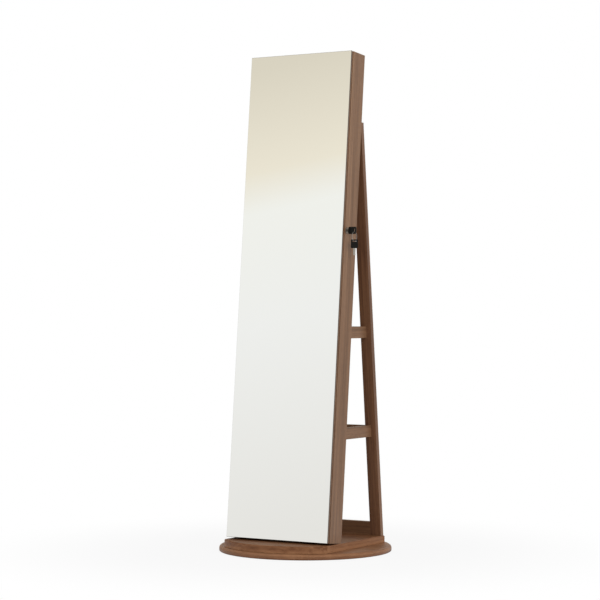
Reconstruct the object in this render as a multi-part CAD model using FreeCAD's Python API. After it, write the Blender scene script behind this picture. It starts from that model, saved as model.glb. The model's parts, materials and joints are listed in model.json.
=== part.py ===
import FreeCAD
import Part
import math
import os

from FreeCAD import Placement, Rotation, Vector

# Rotating jewelry armoire: a leaning cabinet with a mirror door, held by a rear A-frame, that turns
# on a round base. Millimetres and degrees. X runs to the right of someone who faces the mirror,
# Y to the back and Z up. The origin lies on the floor, on the turning axis.

# Round base
BASE_RADIUS = 250.0
BASE_THICKNESS = 16.5
BASE_TOP_ROUND = 8.0
BASE_LOW_ROUND = 3.0
PAD_COUNT = 6
PAD_RADIUS = 12.0
PAD_HEIGHT = 1.0
PAD_EDGE = 0.4
PAD_CIRCLE_RADIUS = 215.0
ACCESS_HOLE_RADIUS = 9.0

# Ball-race turntable
RACE_RADIUS = 105.0
RACE_GAP = 1.0
RING_WIDTH = 18.0
RING_HEIGHT = 8.0
RING_RISE = 1.0
BALL_COUNT = 24
BALL_RADIUS = 2.5
BALL_CLEARANCE = 0.3
RING_SCREW_COUNT = 4
RING_SCREW_OFFSET = 11.0
RING_SCREW_LENGTH = 16.0
RING_SCREW_RADIUS = 1.6
RING_POCKET_CLEARANCE = 2.0
TURN_GAP = 0.5

# Turning platform
PLATFORM_THICKNESS = 20.5
PLATFORM_OVERHANG = 3.5
PLATFORM_REAR_LEDGE = 1.0
PLATFORM_FRONT = 238.0
PLATFORM_CORNER_LEDGE = 6.0
PLATFORM_CORNER_RADIUS = 15.0
PLATFORM_EDGE_RADIUS = 3.0
PLATFORM_SCREW_LENGTH = 40.0
PLATFORM_SCREW_RADIUS = 2.5
PLATFORM_SCREW_SPACING = 200.0
LEG_SCREW_INSET = 8.0

# Cabinet box and mirror door
CABINET_WIDTH = 340.0
LEAN_ANGLE = 5.5
DOOR_LENGTH = 1400.0
DOOR_FRONT = 158.2
HEEL_DEPTH = 8.0
MIRROR_THICKNESS = 4.0
MIRROR_BEVEL = 0.8
DOOR_PANEL_THICKNESS = 6.0
DOOR_PANEL_INSET = 1.0
DOOR_GAP = 1.0
BOX_DEPTH = 65.0
SIDE_THICKNESS = 15.0
TOP_THICKNESS = 15.0
BOTTOM_THICKNESS = 22.0
BOTTOM_FOOT_SETBACK = 30.0
BACK_THICKNESS = 5.0
LINING_THICKNESS = 2.0
DOOR_LINING_THICKNESS = 1.5
DOOR_LINING_MARGIN = 45.0

# Rear A-frame and its open shelves
LEG_WIDTH = 35.0
LEG_THICKNESS = 15.0
LEG_MEET_DROP = 219.0
LEG_LAP = 24.0
BOTTOM_RAIL_HEIGHT = 40.0
TOP_RAIL_HEIGHT = 36.0
SHELF_RAIL_HEIGHT = 33.5
SHELF_RAIL_THICKNESS = 12.0
SHELF_RAIL_INSET = 15.0
SHELF_THICKNESS = 12.0
LOWER_SHELF_Z = 328.5
UPPER_SHELF_Z = 616.5
DOWEL_RADIUS = 4.0
DOWEL_DEPTH = 18.0
DOWEL_SPACING = 18.0
FRAME_SCREW_LENGTH = 40.0
FRAME_SCREW_RADIUS = 2.0
LAP_SCREW_COVER = 5.0

# Butt hinges on the left edge
HINGE_HEIGHT = 50.0
HINGE_MARGIN = 125.0
KNUCKLE_COUNT = 5
KNUCKLE_RADIUS = 2.5
KNUCKLE_PLAY = 0.3
KNUCKLE_WALL_GAP = 0.2
PIN_RADIUS = 1.2
PIN_CLEARANCE = 0.05
PIN_HEAD_RADIUS = 2.2
PIN_HEAD_HEIGHT = 1.0
LEAF_THICKNESS = 1.2
BODY_LEAF_WIDTH = 22.0
DOOR_LEAF_WIDTH = 25.0

# Cam lock in the right side, its keeper and the magnetic catch
LOCK_HEIGHT = 885.0
HOUSING_RADIUS = 8.0
HOUSING_REACH = 3.0
FLANGE_RADIUS = 9.0
FLANGE_THICKNESS = 1.5
FLANGE_BEVEL = 0.6
PLUG_RADIUS = 5.5
PLUG_CLEARANCE = 0.08
PLUG_RECESS = 0.5
PLUG_REACH = 1.0
NUT_ACROSS_FLATS = 20.0
NUT_THICKNESS = 4.5
NUT_DOOR_GAP = 0.95
CAM_THICKNESS = 1.8
CAM_HUB_RADIUS = 5.0
CAM_ARM_WIDTH = 4.0
CAM_REACH = 10.2
CAM_HOOK_WIDTH = 1.6
CAM_HOOK_DROP = 4.5
CAM_SCREW_RADIUS = 2.0
CAM_SCREW_LENGTH = 7.0
KEEPER_THICKNESS = 1.5
KEEPER_WIDTH = 12.0
KEEPER_FOOT = 16.0
KEEPER_LIP_HEIGHT = 7.5
KEEPER_PLAY = 0.6
KEEPER_DROP = 1.0
CATCH_DROP = 30.0
CATCH_WIDTH = 14.0
CATCH_DEPTH = 12.0
CATCH_HEIGHT = 40.0
CATCH_PLATE_THICKNESS = 1.0
CATCH_PLAY = 0.3

# Keys and their ring
BLADE_INSERTED = 16.5
BLADE_EXPOSED = 4.5
BLADE_WIDTH = 6.5
BLADE_THICKNESS = 1.8
BLADE_TIP = 2.0
KEY_CUT_DEPTHS = (0.6, 1.3, 0.8, 1.4, 0.7)
BLADE_GROOVE_WIDTH = 1.6
BLADE_GROOVE_DEPTH = 0.4
BOW_LENGTH = 25.0
BOW_WIDTH = 20.5
BOW_THICKNESS = 2.2
BOW_CORNER = 3.5
BOW_SLOT_LENGTH = 10.0
BOW_SLOT_WIDTH = 2.2
BOW_SLOT_MARGIN = 4.0
RING_RADIUS = 13.3
RING_WIRE_RADIUS = 0.6
RING_PLAY = 0.15
SPARE_KEY_PLAY = 0.3
SPARE_KEY_TURN = 32.0

# Fittings inside the cabinet
INNER_SHELF_COUNT = 3
INNER_SHELF_START = 290.0
INNER_SHELF_PITCH = 140.0
INNER_SHELF_THICKNESS = 9.0
INNER_SHELF_DEPTH = 42.0
GUARD_ROD_RADIUS = 2.0
GUARD_ROD_RISE = 22.0
GUARD_ROD_SETBACK = 5.0
GUARD_ROD_SEAT = 5.0
BIN_FRONT_HEIGHT = 90.0
BIN_FRONT_THICKNESS = 6.0
RING_TRAY_GAP = 75.0
RING_TRAY_WALL = 4.0
RING_TRAY_LIP = 7.0
RING_TRAY_DEPTH = 20.0
ROLL_COUNT = 6
ROLL_PITCH = 22.0
ROLL_GAP = 0.6
EARRING_BAR_COUNT = 3
EARRING_BAR_START = 980.0
EARRING_BAR_PITCH = 70.0
EARRING_BAR_HEIGHT = 26.0
EARRING_BAR_THICKNESS = 4.0
EARRING_BAR_STANDOFF = 13.0
EARRING_SLOT_COUNT = 13
EARRING_SLOT_WIDTH = 2.4
EARRING_SLOT_HEIGHT = 14.0
HOOK_RAIL_DROP = 60.0
HOOK_RAIL_HEIGHT = 30.0
HOOK_RAIL_THICKNESS = 10.0
HOOK_COUNT = 10
HOOK_SPACING = 28.0
HOOK_LENGTH = 22.0
HOOK_RADIUS = 1.5
HOOK_KNOB_RADIUS = 3.0
HOOK_SEAT = 6.0
HOOK_TILT = 20.0

# Clearance of dowels, screws and other pieces that sit still in their holes
SEAT_CLEARANCE = 0.1

# Sizes and places that follow from those above
LEAN = math.radians(LEAN_ANGLE)
HALF_WIDTH = CABINET_WIDTH / 2
INNER_HALF = HALF_WIDTH - SIDE_THICKNESS
BASE_TOP = PAD_HEIGHT + BASE_THICKNESS
RACE_MIDDLE = BASE_TOP + (RING_RISE + RING_HEIGHT) / 2
POCKET_TOP = BASE_TOP + RING_RISE + RING_HEIGHT
PLATFORM_BOTTOM = BASE_TOP + TURN_GAP
PLATFORM_TOP = PLATFORM_BOTTOM + PLATFORM_THICKNESS
DOOR_THICKNESS = MIRROR_THICKNESS + DOOR_PANEL_THICKNESS
BOX_FRONT = DOOR_THICKNESS + DOOR_GAP
CABINET_DEPTH = BOX_FRONT + BOX_DEPTH
HEEL_FRONT = CABINET_DEPTH - HEEL_DEPTH
DOOR_BOTTOM = PLATFORM_TOP + HEEL_FRONT * math.sin(LEAN)
FOOT_FRONT = BOX_FRONT + BOTTOM_FOOT_SETBACK
BACK_FRONT = CABINET_DEPTH - BACK_THICKNESS
LINING_FRONT = BACK_FRONT - LINING_THICKNESS
CEILING = DOOR_LENGTH - TOP_THICKNESS

# The cabinet's own frame has its mirror face at y = 0 and the lower edge of its door at z = 0.
CABINET_FRAME = Placement(Vector(0, -DOOR_FRONT, DOOR_BOTTOM), Rotation(Vector(1, 0, 0), -LEAN_ANGLE))
LEG_MEET = CABINET_FRAME.multVec(Vector(0, CABINET_DEPTH, DOOR_LENGTH - LEG_MEET_DROP))
LEG_FOOT_FRONT = LEG_MEET.y + (LEG_MEET.z - PLATFORM_TOP) * math.tan(LEAN)
LEG_TOP = LEG_MEET.z + LEG_LAP
LEG_INNER = HALF_WIDTH - LEG_WIDTH
SHELF_RAIL_OUTER = HALF_WIDTH - SHELF_RAIL_INSET
SHELF_HALF = SHELF_RAIL_OUTER - SHELF_RAIL_THICKNESS
# The rear frame's own frame has the legs' front face at y = 0 and their feet at z = 0.
LEG_FRAME = Placement(Vector(0, LEG_FOOT_FRONT, PLATFORM_TOP), Rotation(Vector(1, 0, 0), LEAN_ANGLE))

HINGE_X = -(HALF_WIDTH + KNUCKLE_RADIUS + KNUCKLE_WALL_GAP)
HINGE_Y = DOOR_THICKNESS + DOOR_GAP / 2
NUT_RADIUS = NUT_ACROSS_FLATS / math.sqrt(3)
LOCK_DEPTH = DOOR_THICKNESS + NUT_RADIUS + NUT_DOOR_GAP
NUT_INNER = INNER_HALF - NUT_THICKNESS
HOUSING_INNER = NUT_INNER - HOUSING_REACH
PLUG_INNER = HOUSING_INNER - PLUG_REACH
PLUG_OUTER = HALF_WIDTH + FLANGE_THICKNESS - PLUG_RECESS
BOW_START = PLUG_OUTER + BLADE_EXPOSED
SLOT_FROM_END = BOW_SLOT_MARGIN + BOW_SLOT_WIDTH / 2
BOW_BAR = (BOW_WIDTH - BOW_SLOT_LENGTH) / 2
RING_WIRE_OFFSET = math.hypot(BOW_BAR, BOW_THICKNESS) / 2 + RING_WIRE_RADIUS + RING_PLAY
RING_X = BOW_START + BOW_LENGTH - SLOT_FROM_END
RING_BAR_Z = LOCK_HEIGHT - (BOW_SLOT_LENGTH + BOW_WIDTH) / 4
RING_BAR = CABINET_FRAME.multVec(Vector(RING_X, LOCK_DEPTH, RING_BAR_Z))

NODES = {}


def keep(name, shape):
    """Store a finished piece, or a group of like pieces, under its node name."""
    NODES[name] = shape


def block(x0, x1, y0, y1, z0, z1):
    """A straight-edged board between two corners."""
    return Part.makeBox(x1 - x0, y1 - y0, z1 - z0, Vector(x0, y0, z0))


def board(x0, x1, outline):
    """A board with the given outline in Y and Z, as long as the span in X."""
    points = [Vector(x0, y, z) for y, z in outline]
    return Part.Face(Part.makePolygon(points + points[:1])).extrude(Vector(x1 - x0, 0, 0))


def rod(radius, start, end):
    """A round bar between two points."""
    return Part.makeCylinder(radius, (end - start).Length, start, end - start)


def turned(outline):
    """A solid turned about Z from straight and curved pieces of outline in X and Z."""
    wire = Part.Wire([piece.toShape() for piece in outline])
    return Part.Face(wire).revolve(Vector(0, 0, 0), Vector(0, 0, 1), 360)


def turned_polygon(points):
    """A solid turned about Z from corner points given as radius and height."""
    corners = [Vector(radius, 0, z) for radius, z in points]
    profile = Part.Face(Part.makePolygon(corners + corners[:1]))
    return profile.revolve(Vector(0, 0, 0), Vector(0, 0, 1), 360)


def carve(shape, tools):
    """The one solid that is left when the tools are cut from a shape."""
    return shape.cut(tools).Solids[0]


def join(first, others):
    """One solid from pieces that overlap or touch."""
    return first.fuse(others).removeSplitter().Solids[0]


def placed(shape, placement):
    """A copy of a shape, moved by a placement."""
    copy = shape.copy()
    copy.Placement = placement.multiply(shape.Placement)
    return copy


def lean_back(shape):
    """Carry a shape from the cabinet's own frame to the whole object's frame."""
    return placed(shape, CABINET_FRAME)


def aimed(shape, start, direction):
    """A turned piece laid with its Z axis along a direction and its origin at a point."""
    return placed(shape, Placement(start, Rotation(Vector(0, 0, 1), direction)))


def on_circle(count, radius, z, first=0.0):
    """Points spaced evenly round the turning axis."""
    angles = [first + 2 * math.pi * index / count for index in range(count)]
    return [Vector(radius * math.cos(angle), radius * math.sin(angle), z) for angle in angles]


def spread(count, spacing):
    """Places spaced evenly about zero."""
    return [(index - (count - 1) / 2) * spacing for index in range(count)]


def screw(length, radius, clearance=0.0):
    """A countersunk screw that points along Z from its flush head, or its hole with a clearance."""
    head = 2 * radius + clearance
    shank = radius + clearance
    tip = length + clearance
    return turned_polygon([(0, 0), (head, 0), (shank, radius), (shank, tip - radius), (0, tip)])


def screw_set(places, length, radius):
    """The screws for a list of starts and directions, and the holes that they sit in."""
    screws = [aimed(screw(length, radius), start, way) for start, way in places]
    holes = [aimed(screw(length, radius, SEAT_CLEARANCE), start, way) for start, way in places]
    return screws, holes


def floor_line(depth):
    """Height in the cabinet's frame at which the platform's top lies, at a depth behind the mirror."""
    return (PLATFORM_TOP - DOOR_BOTTOM + depth * math.sin(LEAN)) / math.cos(LEAN)


def cabinet_back(z):
    """Y of the cabinet's sloping back at a height."""
    return -DOOR_FRONT + CABINET_DEPTH / math.cos(LEAN) + (z - DOOR_BOTTOM) * math.tan(LEAN)


def leg_front(z):
    """Y of the legs' front face at a height."""
    return LEG_FOOT_FRONT - (z - PLATFORM_TOP) * math.tan(LEAN)


def leg_rear(z):
    """Y of the legs' rear face at a height."""
    return leg_front(z) + LEG_THICKNESS / math.cos(LEAN)


def make_base():
    """Round board with a soft upper and a tight lower edge, standing on thin pads."""
    disc = Part.makeCylinder(BASE_RADIUS, BASE_THICKNESS, Vector(0, 0, PAD_HEIGHT))
    top_edges = [edge for edge in disc.Edges if edge.BoundBox.ZMin > BASE_TOP - BASE_TOP_ROUND]
    disc = disc.makeFillet(BASE_TOP_ROUND, top_edges)
    low_edges = [edge for edge in disc.Edges if edge.BoundBox.ZMax < PAD_HEIGHT + BASE_LOW_ROUND]
    disc = disc.makeFillet(BASE_LOW_ROUND, low_edges)
    pad = turned_polygon([
        (0, 0), (PAD_RADIUS - PAD_EDGE, 0), (PAD_RADIUS, PAD_EDGE),
        (PAD_RADIUS, PAD_HEIGHT), (0, PAD_HEIGHT),
    ])
    places = on_circle(PAD_COUNT, PAD_CIRCLE_RADIUS, 0)
    pads = [placed(pad, Placement(point, Rotation())) for point in places]
    keep("base_pads", Part.makeCompound(pads))
    return disc


def make_race(side, bottom):
    """One ring of the turntable, outside the balls for side 1 and inside them for side -1."""
    groove = BALL_RADIUS + BALL_CLEARANCE
    near = RACE_RADIUS + side * RACE_GAP / 2
    far = near + side * RING_WIDTH
    lip = math.sqrt(groove ** 2 - (RACE_GAP / 2) ** 2)
    top = bottom + RING_HEIGHT
    lip_low = Vector(near, 0, RACE_MIDDLE - lip)
    lip_high = Vector(near, 0, RACE_MIDDLE + lip)
    corners = [Vector(x, 0, z) for x, z in ((near, top), (far, top), (far, bottom), (near, bottom))]
    path = [lip_high] + corners + [lip_low]
    outline = [Part.LineSegment(start, end) for start, end in zip(path, path[1:])]
    outline.append(Part.Arc(lip_low, Vector(RACE_RADIUS + side * groove, 0, RACE_MIDDLE), lip_high))
    return turned(outline)


def make_turntable(disc):
    """Two rings with balls between them, one screwed to the base and one to the platform."""
    outer_top = BASE_TOP + RING_HEIGHT
    inner_bottom = BASE_TOP + RING_RISE
    outer_circle = on_circle(RING_SCREW_COUNT, RACE_RADIUS + RING_SCREW_OFFSET, outer_top)
    inner_circle = on_circle(RING_SCREW_COUNT, RACE_RADIUS - RING_SCREW_OFFSET, inner_bottom)
    down = [(point, Vector(0, 0, -1)) for point in outer_circle]
    up = [(point, Vector(0, 0, 1)) for point in inner_circle]
    outer_screws, outer_holes = screw_set(down, RING_SCREW_LENGTH, RING_SCREW_RADIUS)
    inner_screws, inner_holes = screw_set(up, RING_SCREW_LENGTH, RING_SCREW_RADIUS)
    ball_places = on_circle(BALL_COUNT, RACE_RADIUS, RACE_MIDDLE)
    balls = [Part.makeSphere(BALL_RADIUS, point) for point in ball_places]
    # Each screw of the inner ring is driven through this hole when it is turned over it.
    access_top = Vector(inner_circle[0].x, inner_circle[0].y, BASE_TOP)
    access_hole = rod(ACCESS_HOLE_RADIUS, access_top - Vector(0, 0, BASE_TOP), access_top)
    keep("base_disc", carve(disc, outer_holes + [access_hole]))
    keep("turntable_outer_ring", carve(make_race(1, BASE_TOP), outer_holes))
    keep("turntable_inner_ring", carve(make_race(-1, inner_bottom), inner_holes))
    keep("turntable_balls", Part.makeCompound(balls))
    keep("outer_ring_screws", Part.makeCompound(outer_screws))
    keep("inner_ring_screws", Part.makeCompound(inner_screws))
    return inner_holes


def make_platform(holes):
    """Board with straight sides and rear and a bowed front, hollowed below for the turntable."""
    half = HALF_WIDTH + PLATFORM_OVERHANG
    corner = -(DOOR_FRONT + PLATFORM_CORNER_LEDGE)
    rear = leg_rear(PLATFORM_TOP) + PLATFORM_REAR_LEDGE
    front_left = Vector(-half, corner, PLATFORM_BOTTOM)
    front_right = Vector(half, corner, PLATFORM_BOTTOM)
    rear_left = Vector(-half, rear, PLATFORM_BOTTOM)
    rear_right = Vector(half, rear, PLATFORM_BOTTOM)
    outline = [
        Part.Arc(front_left, Vector(0, -PLATFORM_FRONT, PLATFORM_BOTTOM), front_right),
        Part.LineSegment(front_right, rear_right),
        Part.LineSegment(rear_right, rear_left),
        Part.LineSegment(rear_left, front_left),
    ]
    face = Part.Face(Part.Wire([piece.toShape() for piece in outline]))
    plate = face.extrude(Vector(0, 0, PLATFORM_THICKNESS))
    upright_edges = [edge for edge in plate.Edges if edge.BoundBox.ZLength > PLATFORM_THICKNESS / 2]
    front_edges = [edge for edge in upright_edges if edge.BoundBox.YMax < 0]
    plate = plate.makeFillet(PLATFORM_CORNER_RADIUS, front_edges)
    round_low = PLATFORM_TOP - PLATFORM_EDGE_RADIUS
    top_edges = [edge for edge in plate.Edges if edge.BoundBox.ZMin > round_low]
    plate = plate.makeFillet(PLATFORM_EDGE_RADIUS, top_edges)
    pocket_radius = RACE_RADIUS + RACE_GAP / 2 + RING_WIDTH + RING_POCKET_CLEARANCE
    pocket = rod(pocket_radius, Vector(0, 0, PLATFORM_BOTTOM), Vector(0, 0, POCKET_TOP))
    keep("turning_platform", carve(plate, [pocket] + holes))


def make_platform_screws():
    """Screws that come up through the platform into the cabinet's bottom board and the legs."""
    board_depth = (FOOT_FRONT + BACK_FRONT) / 2
    board_y = CABINET_FRAME.multVec(Vector(0, board_depth, floor_line(board_depth))).y
    leg_y = (leg_front(PLATFORM_TOP) + leg_rear(PLATFORM_TOP)) / 2
    up = Vector(0, 0, 1)
    places = []
    for side in (-1, 1):
        places.append((Vector(side * PLATFORM_SCREW_SPACING / 2, board_y, PLATFORM_BOTTOM), up))
        places.append((Vector(side * (HALF_WIDTH - LEG_SCREW_INSET), leg_y, PLATFORM_BOTTOM), up))
    screws, holes = screw_set(places, PLATFORM_SCREW_LENGTH, PLATFORM_SCREW_RADIUS)
    keep("platform_screws", Part.makeCompound(screws))
    return holes


def make_frame_screws():
    """Screws through back panel and legs into the shelf rails, and through the laps into the sides."""
    front_places = []
    rear_places = []
    rail_x = (SHELF_RAIL_OUTER + SHELF_HALF) / 2
    side_x = HALF_WIDTH - SIDE_THICKNESS / 2
    for side in (-1, 1):
        for shelf_z in (LOWER_SHELF_Z, UPPER_SHELF_Z):
            height = shelf_z + SHELF_RAIL_HEIGHT / 2
            inside = CABINET_FRAME.inverse().multVec(Vector(side * rail_x, cabinet_back(height), height))
            behind = LEG_FRAME.inverse().multVec(Vector(side * rail_x, leg_front(height), height))
            inside.y = BACK_FRONT
            behind.y = LEG_THICKNESS
            front_places.append((inside, Vector(0, 1, 0)))
            rear_places.append((behind, Vector(0, -1, 0)))
    front_screws, front_holes = screw_set(front_places, FRAME_SCREW_LENGTH, FRAME_SCREW_RADIUS)
    rear_screws, rear_holes = screw_set(rear_places, FRAME_SCREW_LENGTH, FRAME_SCREW_RADIUS)

    lap_z = DOOR_LENGTH - LEG_MEET_DROP + LEG_LAP / 2
    lap_y = CABINET_DEPTH + LAP_SCREW_COVER
    lap_places = [(Vector(side * side_x, lap_y, lap_z), Vector(0, -1, 0)) for side in (-1, 1)]
    lap_screws, lap_holes = screw_set(lap_places, FRAME_SCREW_LENGTH, FRAME_SCREW_RADIUS)
    head = 2 * FRAME_SCREW_RADIUS + SEAT_CLEARANCE
    for start, way in lap_places:
        lap_holes.append(rod(head, start, start - way * LEG_THICKNESS))

    screws = [lean_back(piece) for piece in front_screws + lap_screws]
    screws += [placed(piece, LEG_FRAME) for piece in rear_screws]
    keep("frame_screws", Part.makeCompound(screws))
    holes = [lean_back(piece) for piece in front_holes + lap_holes]
    return holes + [placed(piece, LEG_FRAME) for piece in rear_holes]


def sloping(front, rear, low, high):
    """Outline of a level-cut board whose front and rear follow two sloping faces."""
    return [(front(low), low), (rear(low), low), (rear(high), high), (front(high), high)]


def make_dowels(rails):
    """Two dowels in each end of each rear rail, and the holes that they sit in."""
    dowels = []
    holes = []
    for low, high in rails:
        for offset in spread(2, DOWEL_SPACING):
            z = (low + high) / 2 + offset
            y = (leg_front(z) + leg_rear(z)) / 2
            for side in (-1, 1):
                start = Vector(side * (LEG_INNER - DOWEL_DEPTH), y, z)
                end = Vector(side * (LEG_INNER + DOWEL_DEPTH), y, z)
                slack = Vector(side * SEAT_CLEARANCE, 0, 0)
                dowels.append(rod(DOWEL_RADIUS, start, end))
                holes.append(rod(DOWEL_RADIUS + SEAT_CLEARANCE, start - slack, end + slack))
    keep("rail_dowels", Part.makeCompound(dowels))
    return holes


def make_rear_frame(screw_holes):
    """Two legs bevelled to the cabinet's back, their rails and the open shelves before them."""
    rails = {
        "bottom_rail": (PLATFORM_TOP, PLATFORM_TOP + BOTTOM_RAIL_HEIGHT),
        "lower_rear_rail": (LOWER_SHELF_Z, LOWER_SHELF_Z + SHELF_RAIL_HEIGHT),
        "upper_rear_rail": (UPPER_SHELF_Z, UPPER_SHELF_Z + SHELF_RAIL_HEIGHT),
        "top_rail": (LEG_MEET.z - TOP_RAIL_HEIGHT, LEG_MEET.z),
    }
    holes = make_dowels(rails.values()) + screw_holes
    for name, (low, high) in rails.items():
        outline = sloping(leg_front, leg_rear, low, high)
        keep(name, carve(board(-LEG_INNER, LEG_INNER, outline), holes))

    outline = [
        (leg_front(PLATFORM_TOP), PLATFORM_TOP),
        (leg_rear(PLATFORM_TOP), PLATFORM_TOP),
        (leg_rear(LEG_TOP), LEG_TOP),
        (cabinet_back(LEG_TOP), LEG_TOP),
        (LEG_MEET.y, LEG_MEET.z),
    ]
    keep("left_leg", carve(board(-HALF_WIDTH, -LEG_INNER, outline), holes))
    keep("right_leg", carve(board(LEG_INNER, HALF_WIDTH, outline), holes))

    for name, low in (("lower", LOWER_SHELF_Z), ("upper", UPPER_SHELF_Z)):
        rail = sloping(cabinet_back, leg_front, low, low + SHELF_RAIL_HEIGHT)
        shelf = sloping(cabinet_back, leg_front, low, low + SHELF_THICKNESS)
        keep(name + "_left_shelf_rail", carve(board(-SHELF_RAIL_OUTER, -SHELF_HALF, rail), screw_holes))
        keep(name + "_right_shelf_rail", carve(board(SHELF_HALF, SHELF_RAIL_OUTER, rail), screw_holes))
        keep(name + "_shelf", board(-SHELF_HALF, SHELF_HALF, shelf))


def make_box(holes, local_holes):
    """Boards of the cabinet, cut square below but for the heel and foot that stand on the platform."""
    upright = [
        (BOX_FRONT, 0),
        (HEEL_FRONT, 0),
        (CABINET_DEPTH, floor_line(CABINET_DEPTH)),
        (CABINET_DEPTH, DOOR_LENGTH),
        (BOX_FRONT, DOOR_LENGTH),
    ]
    back = [
        (BACK_FRONT, floor_line(BACK_FRONT)),
        (CABINET_DEPTH, floor_line(CABINET_DEPTH)),
        (CABINET_DEPTH, CEILING),
        (BACK_FRONT, CEILING),
    ]
    bottom = [
        (BOX_FRONT, 0),
        (FOOT_FRONT, 0),
        (FOOT_FRONT, floor_line(FOOT_FRONT)),
        (BACK_FRONT, floor_line(BACK_FRONT)),
        (BACK_FRONT, BOTTOM_THICKNESS),
        (BOX_FRONT, BOTTOM_THICKNESS),
    ]
    boards = {
        "left_side_panel": board(-HALF_WIDTH, -INNER_HALF, upright).cut(local_holes),
        "right_side_panel": board(INNER_HALF, HALF_WIDTH, upright).cut(local_holes),
        "top_board": block(-INNER_HALF, INNER_HALF, BOX_FRONT, CABINET_DEPTH, CEILING, DOOR_LENGTH),
        "bottom_board": board(-INNER_HALF, INNER_HALF, bottom),
        "back_panel": board(-INNER_HALF, INNER_HALF, back),
    }
    for name, shape in boards.items():
        keep(name, carve(lean_back(shape), holes))
    lining = block(-INNER_HALF, INNER_HALF, LINING_FRONT, BACK_FRONT, BOTTOM_THICKNESS, CEILING)
    keep("back_lining", lean_back(lining))


def hinge_bottoms():
    """Heights of the lower ends of the three hinges."""
    top = DOOR_LENGTH - HINGE_MARGIN - HINGE_HEIGHT
    return [HINGE_MARGIN, (HINGE_MARGIN + top) / 2, top]


def knuckle_span(index):
    """Lower and upper end of one knuckle, measured from the lower end of its hinge."""
    pitch = HINGE_HEIGHT / KNUCKLE_COUNT
    return index * pitch + KNUCKLE_PLAY / 2, (index + 1) * pitch - KNUCKLE_PLAY / 2


def make_leaf(plate, tongue, indices):
    """A hinge leaf: its plate, and a tongue and knuckle at each of the given places."""
    pieces = []
    for index in indices:
        low, high = knuckle_span(index)
        pieces.append(block(*tongue, low, high))
        pieces.append(rod(KNUCKLE_RADIUS, Vector(HINGE_X, HINGE_Y, low), Vector(HINGE_X, HINGE_Y, high)))
    leaf = join(block(*plate, 0, HINGE_HEIGHT), pieces)
    axis_low = Vector(HINGE_X, HINGE_Y, 0)
    axis_high = Vector(HINGE_X, HINGE_Y, HINGE_HEIGHT)
    return carve(leaf, [rod(PIN_RADIUS + PIN_CLEARANCE, axis_low, axis_high)])


def make_hinges():
    """Three butt hinges, and the seats for their leaves in the door panel."""
    clear = KNUCKLE_RADIUS + KNUCKLE_PLAY
    body_x = (-HALF_WIDTH - LEAF_THICKNESS, -HALF_WIDTH)
    body_plate = (*body_x, HINGE_Y + clear, HINGE_Y + clear + BODY_LEAF_WIDTH)
    body_tongue = (*body_x, HINGE_Y, HINGE_Y + clear)
    door_y = (DOOR_THICKNESS - LEAF_THICKNESS, DOOR_THICKNESS)
    door_plate = (HINGE_X + clear, HINGE_X + clear + DOOR_LEAF_WIDTH, *door_y)
    door_tongue = (HINGE_X, HINGE_X + clear, *door_y)
    body_leaf = make_leaf(body_plate, body_tongue, range(0, KNUCKLE_COUNT, 2))
    door_leaf = make_leaf(door_plate, door_tongue, range(1, KNUCKLE_COUNT, 2))
    pin = turned_polygon([
        (0, -PIN_HEAD_HEIGHT), (PIN_HEAD_RADIUS / 2, -PIN_HEAD_HEIGHT), (PIN_HEAD_RADIUS, 0),
        (PIN_RADIUS, 0), (PIN_RADIUS, HINGE_HEIGHT), (PIN_HEAD_RADIUS, HINGE_HEIGHT),
        (PIN_HEAD_RADIUS / 2, HINGE_HEIGHT + PIN_HEAD_HEIGHT), (0, HINGE_HEIGHT + PIN_HEAD_HEIGHT),
    ])
    x0, x1, y0, y1 = door_plate
    seat = block(x0, x1 + SEAT_CLEARANCE, y0, y1, -SEAT_CLEARANCE, HINGE_HEIGHT + SEAT_CLEARANCE)

    def repeat(shape, x=0.0, y=0.0):
        places = [Placement(Vector(x, y, z), Rotation()) for z in hinge_bottoms()]
        return [lean_back(placed(shape, place)) for place in places]

    keep("hinge_body_leaves", Part.makeCompound(repeat(body_leaf)))
    keep("hinge_door_leaves", Part.makeCompound(repeat(door_leaf)))
    keep("hinge_pins", Part.makeCompound(repeat(pin, HINGE_X, HINGE_Y)))
    return repeat(seat)


def make_door(seats):
    """Mirror glass with an arris round its face, glued to a thin panel with a velvet-lined back."""
    glass = block(-HALF_WIDTH, HALF_WIDTH, 0, MIRROR_THICKNESS, 0, DOOR_LENGTH)
    face_edges = [edge for edge in glass.Edges if edge.BoundBox.YMax < MIRROR_BEVEL]
    keep("mirror_glass", lean_back(glass.makeChamfer(MIRROR_BEVEL, face_edges)))
    half = HALF_WIDTH - DOOR_PANEL_INSET
    high = DOOR_LENGTH - DOOR_PANEL_INSET
    panel = block(-half, half, MIRROR_THICKNESS, DOOR_THICKNESS, DOOR_PANEL_INSET, high)
    keep("door_panel", carve(lean_back(panel), seats))
    half = HALF_WIDTH - DOOR_LINING_MARGIN
    back = DOOR_THICKNESS + DOOR_LINING_THICKNESS
    high = DOOR_LENGTH - DOOR_LINING_MARGIN
    lining = block(-half, half, DOOR_THICKNESS, back, DOOR_LINING_MARGIN, high)
    keep("door_lining", lean_back(lining))


def along_lock(x):
    """A point on the lock's axis."""
    return Vector(x, LOCK_DEPTH, LOCK_HEIGHT)


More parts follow.
